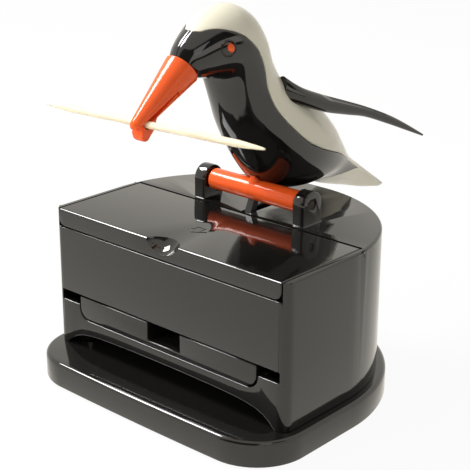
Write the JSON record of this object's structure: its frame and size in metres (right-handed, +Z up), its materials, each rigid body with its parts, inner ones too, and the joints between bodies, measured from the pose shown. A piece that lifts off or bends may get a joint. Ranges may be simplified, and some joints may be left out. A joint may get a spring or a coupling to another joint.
{
  "type": "toothpick dispenser",
  "caption": "Desk-top toothpick dispenser: a bird on a box bows when pressed, the tray slides out and the beak picks up a toothpick.",
  "frame": {"origin": "middle of the bounding box, on the table under the feet", "axes": "+Z up, -Y towards the front face with the tray and the beak, +X to the bird's left"},
  "size_m": [0.077, 0.0928, 0.0914],
  "materials": {
    "black_gloss": "high gloss moulded ABS, reads dark grey where it mirrors the background",
    "black_satin": "satin moulded ABS for the inner pieces",
    "ivory_gloss": "gloss ivory ABS",
    "orange_gloss": "gloss orange-red ABS",
    "dark_grey": "gloss dark grey",
    "steel": "plain steel wire and zinc-plated screws",
    "rubber": "soft matt rubber",
    "wood": "pale bare birch"
  },
  "bodies": {
    "base": {"base_plate": "black_gloss", "rubber_feet": "rubber", "base_screws": "steel", "body_shell": "black_gloss", "hopper": "black_satin", "hopper_screws": "steel", "tray_guide": "black_satin", "crank_pin": "steel", "toothpick_stock": "wood"},
    "lid": {"lid": "black_gloss", "lid_pins": "steel"},
    "tray": {"tray": "black_gloss"},
    "crank": {"crank": "black_satin", "tray_pin": "steel", "return_spring": "steel"},
    "bird": {"foot_bar": "orange_gloss", "axle_rod": "steel", "drive_lever": "black_satin", "drive_pin": "steel", "bird_front_shell": "black_gloss", "bird_back_shell": "ivory_gloss", "left_wing": "black_gloss", "right_wing": "black_gloss", "eye_rings": "dark_grey", "eye_beads": "orange_gloss", "upper_beak": "orange_gloss"},
    "beak_finger": {"lower_beak": "orange_gloss"},
    "held_pick": {"held_toothpick": "wood"},
    "next_pick": {"next_toothpick": "wood"}
  },
  "joints": [
    {"name": "bird_bow", "type": "hinge", "parent": "base", "child": "bird", "pos_m": [0, -0.0046, 0.0456], "axis": [1, 0, 0], "range_deg": [0, 70], "stiffness_Nm_per_rad": 0.01, "springref_deg": -17.19},
    {"name": "crank_turn", "type": "hinge", "parent": "base", "child": "crank", "pos_m": [0, 0.0001, 0.0216], "axis": [1, 0, 0], "range_deg": [-58.11, 0]},
    {"name": "tray_out", "type": "slide", "parent": "base", "child": "tray", "axis": [0, -1, 0], "range_m": [0, 0.00591]},
    {"name": "lid_open", "type": "hinge", "parent": "base", "child": "lid", "pos_m": [0, -0.01035, 0.0399], "axis": [1, 0, 0], "range_deg": [-65, 0]},
    {"name": "beak_flex", "type": "hinge", "parent": "bird", "child": "beak_finger", "pos_m": [0, -0.03245, 0.07452], "axis": [-1, 0, 0], "range_deg": [-8, 0], "stiffness_Nm_per_rad": 0.005, "springref_deg": 5.73},
    {"name": "held_pick_pull", "type": "slide", "parent": "bird", "child": "held_pick", "axis": [1, 0, 0], "range_m": [0, 0.033]},
    {"name": "next_pick_drop", "type": "slide", "parent": "base", "child": "next_pick", "axis": [0, 0, 1], "range_m": [-0.0021, 0]}
  ],
  "couplings": [
    {"joint": "crank_turn", "follows": "bird_bow", "ratio": -0.82937},
    {"joint": "tray_out", "follows": "bird_bow", "m_per_rad": 0.0048285}
  ]
}
